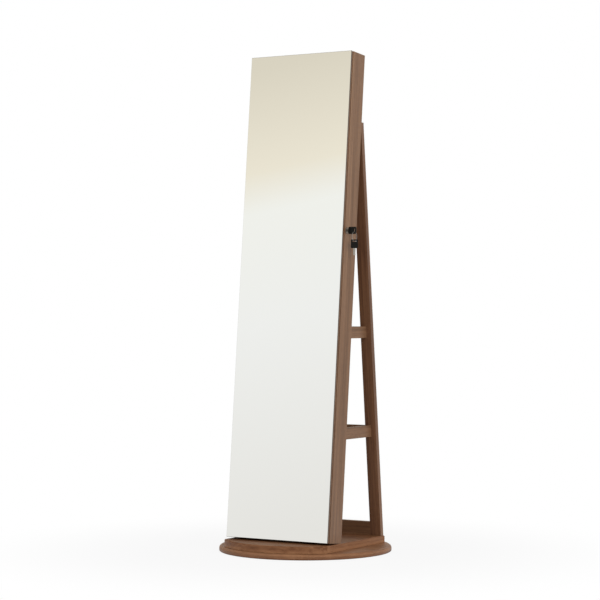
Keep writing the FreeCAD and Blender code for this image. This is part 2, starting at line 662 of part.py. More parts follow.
def make_lock():
    """Cam lock: housing clamped in the side by its flange and nut, turning plug and hooked cam."""
    bore = PLUG_RADIUS + PLUG_CLEARANCE
    length = HALF_WIDTH - HOUSING_INNER
    face = length + FLANGE_THICKNESS
    housing = turned_polygon([
        (bore, 0), (HOUSING_RADIUS, 0), (HOUSING_RADIUS, length), (FLANGE_RADIUS, length),
        (FLANGE_RADIUS, face - FLANGE_BEVEL), (FLANGE_RADIUS - FLANGE_BEVEL, face), (bore, face),
    ])
    keep("lock_housing", lean_back(aimed(housing, along_lock(HOUSING_INNER), Vector(1, 0, 0))))
    hole = rod(HOUSING_RADIUS + SEAT_CLEARANCE, along_lock(0), along_lock(HALF_WIDTH))

    corners = [(LOCK_DEPTH + point.x, LOCK_HEIGHT + point.y) for point in on_circle(6, NUT_RADIUS, 0)]
    keep("lock_nut", lean_back(carve(board(NUT_INNER, INNER_HALF, corners), [hole])))

    screw_in = PLUG_INNER + CAM_SCREW_LENGTH - CAM_THICKNESS
    slack = Vector(SEAT_CLEARANCE, 0, 0)
    plug = rod(PLUG_RADIUS, along_lock(PLUG_INNER), along_lock(PLUG_OUTER))
    thread = rod(CAM_SCREW_RADIUS + SEAT_CLEARANCE, along_lock(0), along_lock(screw_in) + slack)
    keyway_half = BLADE_THICKNESS / 2 + SEAT_CLEARANCE
    keyway_rise = BLADE_WIDTH / 2 + SEAT_CLEARANCE
    keyway = block(
        PLUG_OUTER - BLADE_INSERTED - SEAT_CLEARANCE, PLUG_OUTER,
        LOCK_DEPTH - keyway_half, LOCK_DEPTH + keyway_half,
        LOCK_HEIGHT - keyway_rise, LOCK_HEIGHT + keyway_rise,
    )
    keep("lock_plug", lean_back(carve(plug, [thread, keyway])))

    cam_inner = PLUG_INNER - CAM_THICKNESS
    hub = rod(CAM_HUB_RADIUS, along_lock(cam_inner), along_lock(PLUG_INNER))
    tip = LOCK_HEIGHT + CAM_REACH
    rear = LOCK_DEPTH + CAM_ARM_WIDTH
    arm = [
        (LOCK_DEPTH, LOCK_HEIGHT), (rear, LOCK_HEIGHT), (rear, tip), (LOCK_DEPTH - CAM_HOOK_DROP, tip),
        (LOCK_DEPTH - CAM_HOOK_DROP, tip - CAM_HOOK_WIDTH), (LOCK_DEPTH, tip - CAM_HOOK_WIDTH),
    ]
    cam = join(hub, [board(cam_inner, PLUG_INNER, arm)])
    keep("lock_cam", lean_back(carve(cam, [thread])))
    head = 2 * CAM_SCREW_RADIUS
    cam_screw = turned_polygon([
        (0, 0), (head - CAM_SCREW_RADIUS / 2, 0), (head, CAM_SCREW_RADIUS / 2), (head, CAM_SCREW_RADIUS),
        (CAM_SCREW_RADIUS, CAM_SCREW_RADIUS), (CAM_SCREW_RADIUS, CAM_SCREW_RADIUS + CAM_SCREW_LENGTH),
        (0, CAM_SCREW_RADIUS + CAM_SCREW_LENGTH),
    ])
    screw_start = along_lock(cam_inner - CAM_SCREW_RADIUS)
    keep("cam_screw", lean_back(aimed(cam_screw, screw_start, Vector(1, 0, 0))))
    return hole


def make_keeper():
    """Bent plate on the door's back whose lip stands behind the cam's hook when the lock is turned."""
    lip_front = LOCK_DEPTH - CAM_REACH + CAM_HOOK_WIDTH + KEEPER_PLAY
    lip_back = lip_front + KEEPER_THICKNESS
    lip_top = LOCK_HEIGHT - KEEPER_DROP
    tread_top = lip_top - KEEPER_LIP_HEIGHT
    tread_low = tread_top - KEEPER_THICKNESS
    foot_back = DOOR_THICKNESS + KEEPER_THICKNESS
    outline = [
        (DOOR_THICKNESS, tread_top), (lip_front, tread_top), (lip_front, lip_top), (lip_back, lip_top),
        (lip_back, tread_low), (foot_back, tread_low), (foot_back, tread_low - KEEPER_FOOT),
        (DOOR_THICKNESS, tread_low - KEEPER_FOOT),
    ]
    keep("lock_keeper", lean_back(board(PLUG_INNER - KEEPER_WIDTH, PLUG_INNER, outline)))


def make_catch():
    """Magnet near the top of the right side, and the steel plate on the door that it holds."""
    left = INNER_HALF - CATCH_WIDTH
    high = CEILING - CATCH_DROP
    low = high - CATCH_HEIGHT
    plate_back = DOOR_THICKNESS + CATCH_PLATE_THICKNESS
    front = plate_back + CATCH_PLAY
    magnet = block(left, INNER_HALF, front, front + CATCH_DEPTH, low, high)
    plate = block(left, INNER_HALF, DOOR_THICKNESS, plate_back, low, high)
    keep("catch_magnet", lean_back(magnet))
    keep("catch_plate", lean_back(plate))


def make_key():
    """Key head and grooved, notched blade along X from the start of the head, flat in X and Z."""
    half = BOW_WIDTH / 2
    thick = BOW_THICKNESS / 2
    bow = block(0, BOW_LENGTH, -thick, thick, -half, half)
    corner_edges = [edge for edge in bow.Edges if edge.BoundBox.YLength > thick]
    bow = bow.makeFillet(BOW_CORNER, corner_edges)
    slot_x = BOW_LENGTH - SLOT_FROM_END
    slot = block(
        slot_x - BOW_SLOT_WIDTH / 2, slot_x + BOW_SLOT_WIDTH / 2, -thick, thick,
        -BOW_SLOT_LENGTH / 2, BOW_SLOT_LENGTH / 2,
    )
    length = BLADE_EXPOSED + BLADE_INSERTED
    shoulder = BLADE_TIP - length
    rise = BLADE_WIDTH / 2
    flat = BLADE_THICKNESS / 2
    cut_pitch = (BLADE_INSERTED - BLADE_TIP) / len(KEY_CUT_DEPTHS)
    corners = [(0, rise), (shoulder, rise), (-length, 0), (shoulder, -rise)]
    for index, depth in reversed(list(enumerate(KEY_CUT_DEPTHS))):
        cut_x = -(BLADE_EXPOSED + (index + 0.5) * cut_pitch)
        corners += [(cut_x - depth, -rise), (cut_x, depth - rise), (cut_x + depth, -rise)]
    corners.append((0, -rise))
    points = [Vector(x, -flat, z) for x, z in corners]
    blade = Part.Face(Part.makePolygon(points + points[:1])).extrude(Vector(0, BLADE_THICKNESS, 0))
    groove_half = BLADE_GROOVE_WIDTH / 2
    groove_floor = flat - BLADE_GROOVE_DEPTH
    grooves = [
        block(-length, 0, groove_floor, flat, -groove_half, groove_half),
        block(-length, 0, -flat, -groove_floor, -groove_half, groove_half),
    ]
    return carve(bow, [slot]), carve(blade, grooves)


def make_keys():
    """The key in the lock, the ring through its head and the spare key that hangs from the ring."""
    bow, blade = make_key()
    in_lock = CABINET_FRAME.multiply(Placement(along_lock(BOW_START), Rotation()))
    keep("key_bow", placed(bow, in_lock))
    keep("key_blade", placed(blade, in_lock))

    middle = RING_BAR + Vector(0, 0, RING_WIRE_OFFSET - RING_RADIUS)
    keep("key_ring", Part.makeTorus(RING_RADIUS, RING_WIRE_RADIUS, middle, Vector(1, 0, 0)))
    slot_z = middle.z - RING_RADIUS - (BOW_SLOT_WIDTH / 2 - RING_WIRE_RADIUS - SPARE_KEY_PLAY)
    head_low = Vector(middle.x, middle.y, slot_z - (BOW_LENGTH - SLOT_FROM_END))
    upright = Rotation(Vector(0, 1, 0), -90)
    hanging = Placement(head_low, Rotation(Vector(0, 0, 1), SPARE_KEY_TURN).multiply(upright))
    keep("spare_key_bow", placed(bow, hanging))
    keep("spare_key_blade", placed(blade, hanging))


def inner_shelf_low(index):
    """Underside of one of the small shelves inside."""
    return INNER_SHELF_START + index * INNER_SHELF_PITCH


def make_inner_shelves():
    """Small shelves with a guard rod before each, and the front of the bin below them."""
    front = LINING_FRONT - INNER_SHELF_DEPTH
    rods = []
    holes = []
    rod_y = front + GUARD_ROD_SETBACK
    slack = Vector(SEAT_CLEARANCE, 0, 0)
    for index in range(INNER_SHELF_COUNT):
        low = inner_shelf_low(index)
        high = low + INNER_SHELF_THICKNESS
        shelf = block(-INNER_HALF, INNER_HALF, front, LINING_FRONT, low, high)
        keep(f"inner_shelf_{index + 1}", lean_back(shelf))
        end = Vector(INNER_HALF + GUARD_ROD_SEAT, rod_y, high + GUARD_ROD_RISE)
        start = Vector(-end.x, end.y, end.z)
        rods.append(lean_back(rod(GUARD_ROD_RADIUS, start, end)))
        holes.append(rod(GUARD_ROD_RADIUS + SEAT_CLEARANCE, start - slack, end + slack))
    keep("guard_rods", Part.makeCompound(rods))
    bin_high = BOTTOM_THICKNESS + BIN_FRONT_HEIGHT
    bin_back = front + BIN_FRONT_THICKNESS
    bin_front = block(-INNER_HALF, INNER_HALF, front, bin_back, BOTTOM_THICKNESS, bin_high)
    keep("bin_front", lean_back(bin_front))
    return holes


def make_ring_tray():
    """Channel-shaped tray on the lining, filled with soft rolls that grip rings between them."""
    low = inner_shelf_low(INNER_SHELF_COUNT - 1) + INNER_SHELF_THICKNESS + RING_TRAY_GAP
    floor = low + RING_TRAY_LIP
    top = floor + ROLL_COUNT * ROLL_PITCH
    high = top + RING_TRAY_LIP
    wall = LINING_FRONT - RING_TRAY_WALL
    front = LINING_FRONT - RING_TRAY_DEPTH
    outline = [
        (LINING_FRONT, low), (LINING_FRONT, high), (front, high), (front, top),
        (wall, top), (wall, floor), (front, floor), (front, low),
    ]
    keep("ring_tray", lean_back(board(-INNER_HALF, INNER_HALF, outline)))
    rolls = []
    radius = (ROLL_PITCH - ROLL_GAP) / 2
    half = INNER_HALF - ROLL_GAP
    for index in range(ROLL_COUNT):
        middle = floor + (index + 0.5) * ROLL_PITCH
        crown = front + radius
        wall_low = Vector(-half, wall, middle - radius)
        wall_high = Vector(-half, wall, middle + radius)
        crown_low = Vector(-half, crown, middle - radius)
        crown_high = Vector(-half, crown, middle + radius)
        outline = Part.Wire([
            Part.makeLine(crown_high, wall_high),
            Part.makeLine(wall_high, wall_low),
            Part.makeLine(wall_low, crown_low),
            Part.Arc(crown_low, Vector(-half, front, middle), crown_high).toShape(),
        ])
        rolls.append(lean_back(Part.Face(outline).extrude(Vector(2 * half, 0, 0))))
    keep("ring_rolls", Part.makeCompound(rolls))


def make_earring_bars():
    """Slotted bars that stand clear of the lining and run from side to side."""
    back = LINING_FRONT - EARRING_BAR_STANDOFF
    front = back - EARRING_BAR_THICKNESS
    slot_pitch = 2 * INNER_HALF / (EARRING_SLOT_COUNT + 1)
    for index in range(EARRING_BAR_COUNT):
        low = EARRING_BAR_START + index * EARRING_BAR_PITCH
        bar = block(-INNER_HALF, INNER_HALF, front, back, low, low + EARRING_BAR_HEIGHT)
        slot_low = low + (EARRING_BAR_HEIGHT - EARRING_SLOT_HEIGHT) / 2
        slot_high = slot_low + EARRING_SLOT_HEIGHT
        slots = []
        for x in spread(EARRING_SLOT_COUNT, slot_pitch):
            left = x - EARRING_SLOT_WIDTH / 2
            slots.append(block(left, left + EARRING_SLOT_WIDTH, front, back, slot_low, slot_high))
        keep(f"earring_bar_{index + 1}", lean_back(carve(bar, slots)))


def make_hook_rail():
    """Rail below the top with a row of knobbed necklace hooks that tilt up."""
    high = CEILING - HOOK_RAIL_DROP
    low = high - HOOK_RAIL_HEIGHT
    front = LINING_FRONT - HOOK_RAIL_THICKNESS
    tilt = math.radians(HOOK_TILT)
    way = Vector(0, -math.cos(tilt), math.sin(tilt))
    hooks = []
    holes = []
    for x in spread(HOOK_COUNT, HOOK_SPACING):
        face = Vector(x, front, (low + high) / 2)
        start = face - way * HOOK_SEAT
        tip = face + way * HOOK_LENGTH
        hook = join(rod(HOOK_RADIUS, start, tip), [Part.makeSphere(HOOK_KNOB_RADIUS, tip)])
        hooks.append(lean_back(hook))
        holes.append(rod(HOOK_RADIUS + SEAT_CLEARANCE, start - way * SEAT_CLEARANCE, tip))
    rail = block(-INNER_HALF, INNER_HALF, front, LINING_FRONT, low, high)
    keep("hook_rail", lean_back(carve(rail, holes)))
    keep("necklace_hooks", Part.makeCompound(hooks))


ring_holes = make_turntable(make_base())
platform_holes = make_platform_screws()
frame_holes = make_frame_screws()
make_platform(ring_holes + platform_holes)
make_rear_frame(frame_holes + platform_holes)
rod_holes = make_inner_shelves()
lock_hole = make_lock()
make_box(frame_holes + platform_holes, rod_holes + [lock_hole])
make_door(make_hinges())
make_keeper()
make_catch()
make_keys()
make_ring_tray()
make_earring_bars()
make_hook_rail()

os.makedirs("parts", exist_ok=True)
for node_name, node_shape in NODES.items():
    node_shape.exportStep(f"parts/{node_name}.step")
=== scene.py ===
import json
import math

import bmesh
import bpy
from mathutils import Matrix, Vector


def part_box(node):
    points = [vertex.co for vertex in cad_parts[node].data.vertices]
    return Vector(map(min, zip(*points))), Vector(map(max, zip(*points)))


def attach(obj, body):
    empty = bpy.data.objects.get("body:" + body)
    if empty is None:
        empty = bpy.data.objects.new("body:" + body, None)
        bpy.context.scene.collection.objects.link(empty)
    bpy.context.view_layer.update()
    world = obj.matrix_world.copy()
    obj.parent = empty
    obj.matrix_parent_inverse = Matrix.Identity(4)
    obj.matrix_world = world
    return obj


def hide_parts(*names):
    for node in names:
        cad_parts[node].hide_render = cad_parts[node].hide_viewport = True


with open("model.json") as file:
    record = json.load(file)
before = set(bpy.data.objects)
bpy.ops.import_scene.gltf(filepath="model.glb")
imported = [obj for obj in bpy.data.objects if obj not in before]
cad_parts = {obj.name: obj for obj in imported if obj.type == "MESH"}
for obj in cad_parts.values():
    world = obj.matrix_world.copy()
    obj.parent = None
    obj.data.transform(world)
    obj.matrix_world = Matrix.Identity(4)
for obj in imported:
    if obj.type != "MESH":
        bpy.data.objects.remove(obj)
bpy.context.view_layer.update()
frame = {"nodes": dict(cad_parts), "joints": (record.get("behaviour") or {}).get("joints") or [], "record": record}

# Looks of a rotating jewelry armoire. Metres, X to the right of someone who faces the mirror,
# Y to the back, Z up, as in the CAD frame. Colours of finishes are as seen on screen, 0 to 255.

# Camera, as the photograph was taken
CAMERA_PLACE = (3.1196, -5.0415, 0.7070)
CAMERA_TURN = 31.9
CAMERA_PITCH = 0.192
CAMERA_LENS = 122.45
SENSOR_WIDTH = 36.0

# Studio floor: white to the camera away from the object, and shaded off with distance in mirrors
WHITE = (1.0, 1.0, 1.0, 1.0)
FLOOR_RADIUS = 9.0
FLOOR_SIDES = 96
FLOOR_GREY = (0.55, 0.55, 0.55, 1.0)
FLOOR_GLOW = 0.90
FLOOR_FADE_START = 0.35
FLOOR_FADE_END = 1.1
MIRRORED_FLOOR_END = 3.6
MIRRORED_FLOOR_COLOUR = (219, 215, 208)

# Studio light, weaker from above, and the backdrop that mirrors show, from its foot up
STUDIO_LIGHT = 0.76
ZENITH_START = 0.1
ZENITH_DIM = 0.40
BACKDROP_LIGHT = 1.05
BACKDROP_SLANT = 0.385
BACKDROP_STOPS = (0.10, 0.36, 0.415, 0.434, 0.482, 0.70)
BACKDROP_COLOURS = (
    (214, 210, 203), (238, 238, 236), (240, 240, 235), (234, 227, 210), (217, 210, 193), (216, 210, 198),
)
KEY_LAMP = {"place": (2.9, -1.8, 1.6), "size": 2.2, "power": 53.0}
FILL_LAMP = {"place": (-2.2, -3.0, 1.2), "size": 2.4, "power": 26.0}
RIM_LAMP = {"place": (1.2, 2.8, 1.8), "size": 2.0, "power": 22.0}
LAMP_AIM = (0.0, 0.0, 0.7)

# Small soft edges on the boards and plastic fittings, apart from boards that are rounded in their solids
BOARD_EDGE = 0.0007
FITTING_EDGE = 0.00025
EDGE_ANGLE = 35.0
EDGE_SEGMENTS = 2
SOFT_BOARD_SLOTS = ("walnut", "inner_walnut", "door_board")
SOFT_FITTING_SLOTS = ("catch_plastic", "key_plastic")
ROUNDED_BOARDS = ("base_disc", "turning_platform")

# Finding corners, faces, hinges and flush screw heads on the CAD nodes
SAME_CORNER = 1e-6
FACE_DEPTH = 0.001
HINGE_SPACING = 0.1
FLUSH_HEAD_DEPTH = 1e-5
FLUSH_HEAD_CORNERS = 8

# Screw heads with a cross recess, each turned on from the one before
SCREW_RADIUS = 0.0026
SCREW_DOME = 0.0005
SCREW_SEAT = 0.0002
SCREW_SIDES = 28
SCREW_RINGS = 5
SCREW_TURN = 0.7
CROSS_LENGTH = 0.62
CROSS_WIDTH = 0.17
CROSS_DEPTH = 0.0007

# Places of the screws: shares across and up a hinge leaf, rises on the keeper, shares of the catch's height
LEAF_SCREWS = ((0.36, 0.16), (0.70, 0.50), (0.36, 0.84))
KEEPER_SCREWS = (0.004, 0.012)
CATCH_SCREWS = (0.2, 0.8)

# Walnut, from its dark to its pale grain
SIDE_WOOD = ((78, 52, 35), (108, 77, 53), (127, 93, 67), (154, 119, 89))
LEG_WOOD = ((61, 37, 25), (97, 65, 45), (121, 85, 60), (151, 114, 85))
BASE_WOOD = ((72, 40, 24), (103, 65, 42), (126, 85, 57), (152, 108, 76))
WOOD_STOPS = (0.05, 0.38, 0.62, 0.95)
WOOD_MIDDLE = 0.5
PORE_COLOUR = (62, 38, 26)

# Layers of the grain: fineness across and along it, then detail, roughness and distortion of the noise
FIGURE_ACROSS = 11
FIGURE_NOISE = (3.0, 0.5, 0.8)
STRIPE_LAYER = (85, 1.4, 2.0, 0.5, 0.3)
STREAK_LAYER = (190, 4, 4.0, 0.6)
FIBRE_LAYER = (900, 16, 2.0, 0.6)
PORE_LAYER = (1500, 48, 1.0, 0.5)
PORE_EDGE = (0.60, 0.72)
BAND_BEND = 5
BAND_ACROSS = 16

# Share of each layer in the shade, the roughness and the relief of walnut
BAND_SHARE = 0.10
STRIPE_SHARE = 0.55
STREAK_SHARE = 0.75
FIBRE_SHARE = 0.4
PORE_SHARE = 0.45
WOOD_ROUGHNESS = 0.46
PORE_ROUGHNESS = 0.16
STREAK_ROUGHNESS = 0.10
FIBRE_RELIEF = 0.35
WOOD_RELIEF = {"distance": 0.00012, "strength": 0.35}

# How lively the figure is, how fast it changes along the grain, and the gloss
BOARD_FIGURE = 0.3
BOARD_SWIRL = 0.9
BOARD_SHINE = 0.5
BASE_FIGURE = 0.45
BASE_SWIRL = 4.5
DISC_SHINE = 0.25
PLATFORM_SHINE = 0.12

# Base disc: how far in from its rim the band starts and is full, and the painted shade near the floor
RIM_BAND_START = 0.0082
RIM_BAND_FULL = 0.0076
PAINTED_SHADE_HEIGHTS = (0.002, 0.013)
PAINTED_FLOOR_SHADE = 0.22

# Platform: slopes that tell its top and its sides, then painted light on its sides and along the foot of its edges
TOP_SLOPE = (0.80, 0.86)
SIDE_SLOPE = (0.92, 0.96)
PAINTED_SIDE_LIGHT = 0.20
PAINTED_LIGHT_REACH = 0.012
PAINTED_FOOT_LIGHT = 0.30

# Mirror glass: silver on its faces, paint on its edges, and a trace of haze
MIRROR_SLOPE = (0.90, 0.97)
MIRROR_SILVER = (249, 250, 249)
MIRROR_EDGE = (80, 64, 54)
MIRROR_ROUGHNESS = 0.004
MIRROR_EDGE_ROUGHNESS = 0.30
HAZE_NOISE = (3.0, 0.6)
HAZE_SCALE = 9.0
HAZE_EDGE = (0.45, 0.75)
HAZE_ROUGHNESS = 0.006

# Velvet: finish, dark and light colour for each slot, then its brushed patches, nap and sheen
VELVETS = {
    "velvet": ("velvet_lining", (15, 13, 15), (42, 37, 41)),
    "roll_velvet": ("velvet_rolls", (22, 19, 22), (54, 48, 53)),
}
VELVET_STOPS = (0.36, 0.64)
PATCH_FINENESS = (14, 14, 9)
PATCH_NOISE = (4.0, 0.65, 0.6)
PATCH_SHARE = 0.65
PATCH_ROUGHNESS = 0.16
NAP_NOISE = (2.0, 0.7)
NAP_SCALE = 1700.0
NAP_SHARE = 0.35
NAP_RELIEF = {"distance": 0.00025, "strength": 0.6}
VELVET_ROUGHNESS = 0.86
VELVET_SHINE = 0.2
SHEEN = 0.55
SHEEN_ROUGHNESS = 0.35
SHEEN_COLOUR = (150, 140, 150)

# Metal: finish, bright and dull colour and roughness for each slot, then its brushing and tarnish
METALS = {
    "zinc_steel": ("zinc_screws", (190, 188, 180), (150, 146, 132), 0.34),
    "bearing_steel": ("race_steel", (178, 179, 182), (120, 118, 116), 0.28),
    "hinge_metal": ("hinge_nickel", (196, 190, 178), (150, 142, 128), 0.30),
    "black_nickel": ("lock_black_nickel", (126, 119, 112), (84, 79, 74), 0.20),
    "ring_steel": ("ring_steel", (176, 176, 178), (126, 124, 122), 0.22),
    "key_steel": ("key_nickel", (184, 182, 178), (140, 136, 130), 0.22),
    "hook_metal": ("hook_brass", (206, 168, 100), (150, 112, 62), 0.24),
}
BRUSHING_FINENESS = (900.0, 900.0, 60.0)
BRUSHING_NOISE = (2.0, 0.6)
BRUSHING_ROUGHNESS = 0.12
BRUSHING_RELIEF = {"distance": 0.00002, "strength": 0.3}
CLOUD_NOISE = (3.0, 0.6)
CLOUD_SCALE = 160.0
CLOUD_START = 0.4
CLOUD_SHARE = 0.5
SPOT_NOISE = (2.0, 0.5)
SPOT_SCALE = 700.0
SPOT_EDGE = (0.60, 0.72)
SPOT_SHARE = 0.25
SPOT_ROUGHNESS = 0.1

# Plastic and rubber: finish, dark and light colour, roughness, fineness of the skin and gloss for each slot
MOULDINGS = {
    "key_plastic": ("key_head_black", (12, 12, 11), (22, 22, 20), 0.42, 2600.0, 0.15),
    "catch_plastic": ("catch_brown", (52, 36, 27), (66, 48, 37), 0.42, 2600.0, 0.5),
    "pad_rubber": ("pad_rubber", (28, 27, 26), (44, 42, 40), 0.75, 1500.0, 0.5),
}
MOULDED_STOPS = (0.30, 0.70)
MARK_NOISE = (4.0, 0.6, 0.4)
MARK_SCALE = 120.0
MARK_SHARE = 0.7
MARK_ROUGHNESS = 0.2
SKIN_NOISE = (2.0, 0.6)
SKIN_SHARE = 0.3
SKIN_RELIEF = {"distance": 0.00006, "strength": 0.5}

# Ring rolls: their form before they are filled
ROLL_COUNT = 6
ROLL_ROUND = 22
ROLL_STEPS = 60
ROLL_FULLNESS = 0.8
ROLL_SHRINK = 0.0012
ROLL_CREASE = 0.00005
ROLL_END_TAPER = 0.006
ROLL_END_DRAW = 0.55

# Ring rolls: their filling
ROLL_GLUE_DEPTH = 0.0004
ROLL_PRESSURE = 5.0
ROLL_SLACK = 0.06
ROLL_PUFF_STEPS = 16
ROLL_PUFF_LIMIT = 0.0011
LEAST_MOVE = 1e-9

# Directions of the leaning cabinet and of the rear legs, from the door's hinge
JOINTS = {joint["name"]: joint for joint in frame["joints"]}
HINGE_POINT = Vector(JOINTS["door_hinge"]["pos_m"])
CABINET_ORIGIN = Vector((0.0, HINGE_POINT.y, HINGE_POINT.z))
ACROSS = Vector((1.0, 0.0, 0.0))
BACK = Vector((0.0, 1.0, 0.0))
UP = Vector((0.0, 0.0, 1.0))
CABINET_UP = -Vector(JOINTS["door_hinge"]["axis"])
CABINET_BACK = CABINET_UP.cross(ACROSS)
LEG_UP = Vector((0.0, -CABINET_UP.y, CABINET_UP.z))
LEG_BACK = LEG_UP.cross(ACROSS)


def srgb(red, green, blue):
    """A colour as it is seen on screen, 0 to 255, as the linear colour that a shader takes."""
    def linear(value):
        value /= 255
        return value / 12.92 if value <= 0.04045 else ((value + 0.055) / 1.055) ** 2.4
    return (linear(red), linear(green), linear(blue), 1.0)


def shown(sockets, name=None):
    """The first socket of a node that is in use, or the one in use with a name."""
    return next((s for s in sockets if s.enabled and name in (None, s.name)), None)


def lay_stops(ramp, stops):
    """Give a colour ramp its places and screen colours."""
    while len(ramp.elements) < len(stops):
        ramp.elements.new(1.0)
    for element, (place, colour) in zip(ramp.elements, stops):
        element.position = place
        element.color = srgb(*colour)


class Socket:
    """An output of a node in a material or the world. A sum written on it adds its Math nodes."""

    def __init__(self, tree, plug=None):
        self.tree = tree
        self.plug = plug

    def node(self, kind, settings=None, inputs=None):
        """A new node of the same tree: first its settings, then the values or links of its inputs."""
        made = self.tree.nodes.new("ShaderNode" + kind)
        for name, value in (settings or {}).items():
            if name == "stops":
                lay_stops(made.color_ramp, value)
            else:
                setattr(made, name, value)
        for name, value in (inputs or {}).items():
            plug = made.inputs[name] if isinstance(name, int) else shown(made.inputs, name)
            if isinstance(value, Socket):
                self.tree.links.new(value.plug, plug)
            else:
                plug.default_value = value
        return Socket(self.tree, shown(made.outputs))

    def output(self, name):
        """Another output of the same node."""
        return Socket(self.tree, shown(self.plug.node.outputs, name))

    def maths(self, operation, *values):
        """A Math node on some values."""
        return self.node("Math", {"operation": operation}, dict(enumerate(values)))

    def __add__(self, other):
        return self.maths("ADD", self, other)

    def __radd__(self, other):
        return self.maths("ADD", other, self)

    def __sub__(self, other):
        return self.maths("SUBTRACT", self, other)

    def __rsub__(self, other):
        return self.maths("SUBTRACT", other, self)

    def __mul__(self, other):
        return self.maths("MULTIPLY", self, other)

    def __rmul__(self, other):
        return self.maths("MULTIPLY", other, self)

    def __abs__(self):
        return self.maths("ABSOLUTE", self)

    def wave(self):
        """A wave between 0 and 1 that runs once for every step of 1."""
        return 0.5 + 0.5 * self.maths("SINE", self * (2 * math.pi))

    def swing(self):
        """A noise or wave as a swing about its middle."""
        return self - 0.5

    def fade(self, start, end):
        """0 below the start, 1 above the end and a soft change between them."""
        settings = {"interpolation_type": "SMOOTHSTEP"}
        return self.node("MapRange", settings, {"Value": self, "From Min": start, "From Max": end})

    def along(self, way):
        """Length of a vector along a direction."""
        return self.node("VectorMath", {"operation": "DOT_PRODUCT"}, {0: self, 1: tuple(way)})

    def ramp(self, places, colours):
        """A colour that runs through screen colours at some places of this value."""
        return self.node("ValToRGB", {"stops": list(zip(places, colours))}, {"Fac": self})

    def blend(self, first, second):
        """A mix of two colours, with this value as the share of the second."""
        return self.node("Mix", {"data_type": "RGBA"}, {"Factor": self, "A": first, "B": second})

    def noise(self, detail=2.0, roughness=0.5, distortion=0.0, scale=1.0):
        """Noise read at this vector."""
        return self.node("TexNoise", {}, {
            "Vector": self, "Scale": scale, "Detail": detail,
            "Roughness": roughness, "Distortion": distortion,
        })

    def bump(self, distance, strength):
        """A normal from this value as a height."""
        return self.node("Bump", {}, {"Height": self, "Distance": distance, "Strength": strength})


def start_finish(name):
    """An empty material, and the socket that its nodes start from."""
    material = bpy.data.materials.new(name)
    material.use_nodes = True
    material.node_tree.nodes.clear()
    return material, Socket(material.node_tree)


def end_finish(material, start, inputs):
    """Close a material with its surface shader and give it back."""
    surface = start.node("BsdfPrincipled", {}, inputs)
    start.node("OutputMaterial", {}, {"Surface": surface})
    return material


def place_on(start):
    """Place on a piece, in its own coordinates."""
    return start.node("TexCoord").output("Object")


def facing_of(start):
    """Direction that a piece's surface faces, in its own coordinates."""
    return start.node("TexCoord").output("Normal")


def measured(place, *ways):
    """Lengths of a vector along some directions."""
    return [place.along(way) for way in ways]


def stretched(start, lengths, fineness):
    """A place for noise: three lengths, each with its own fineness."""
    x, y, z = [length * fine for length, fine in zip(lengths, fineness)]
    return start.node("CombineXYZ", {}, {"X": x, "Y": y, "Z": z})


def walnut_surface(material, start, grain, wood, tone, figured, swirl, shine):
    """Satin walnut: broad figure, growth bands, fine streaks and short open pores along the grain.

    The grain is the length along it and the two ways across it.
    """
    length, width, depth = grain

    def layer(across, along, *noise):
        return stretched(start, (width, depth, length), (across, across, along)).noise(*noise)

    figure = layer(FIGURE_ACROSS, swirl, *FIGURE_NOISE)
    bands = (figure * BAND_BEND + width * BAND_ACROSS + depth * BAND_ACROSS).wave()
    stripes = layer(*STRIPE_LAYER)
    streaks = layer(*STREAK_LAYER)
    fibres = layer(*FIBRE_LAYER)
    pores = layer(*PORE_LAYER).fade(*PORE_EDGE)
    shade = figure.swing() * figured + bands.swing() * BAND_SHARE + stripes.swing() * STRIPE_SHARE
    shade = shade + streaks.swing() * STREAK_SHARE + fibres.swing() * FIBRE_SHARE
    colour = (shade + (WOOD_MIDDLE + tone)).ramp(WOOD_STOPS, wood)
    colour = (pores * PORE_SHARE).blend(colour, srgb(*PORE_COLOUR))
    relief = (fibres * FIBRE_RELIEF - pores).bump(**WOOD_RELIEF)
    rough = WOOD_ROUGHNESS + pores * PORE_ROUGHNESS + streaks.swing() * STREAK_ROUGHNESS
    return end_finish(material, start, {
        "Base Color": colour, "Roughness": rough, "Normal": relief, "Specular IOR Level": shine,
    })


def walnut(name, along, across, tone=0.0, figured=BOARD_FIGURE, wood=SIDE_WOOD):
    """Walnut board with straight grain along one direction."""
    material, start = start_finish(name)
    grain = measured(place_on(start), along, across, along.cross(across))
    return walnut_surface(material, start, grain, wood, tone, figured, BOARD_SWIRL, BOARD_SHINE)


def banded_walnut(name, radius, tone):
    """Round board: grain across its flats and along a band round its rim, darkened near the floor by painted
    shade.
    """
    material, start = start_finish(name)
    x, y, z = measured(place_on(start), ACROSS, BACK, UP)
    rim = start.maths("SQRT", x * x + y * y)
    round_rim = start.maths("ARCTAN2", y, x) * radius
    edge = rim.fade(radius - RIM_BAND_START, radius - RIM_BAND_FULL)
    length = edge * round_rim + (1 - edge) * x
    width = edge * z + (1 - edge) * y
    depth = edge * rim + (1 - edge) * z
    # Painted shade: the wood darkens towards the floor, where the low rim gets less light
    tone = tone - (1 - z.fade(*PAINTED_SHADE_HEIGHTS)) * PAINTED_FLOOR_SHADE
    grain = (length, width, depth)
    return walnut_surface(material, start, grain, BASE_WOOD, tone, BASE_FIGURE, BASE_SWIRL, DISC_SHINE)


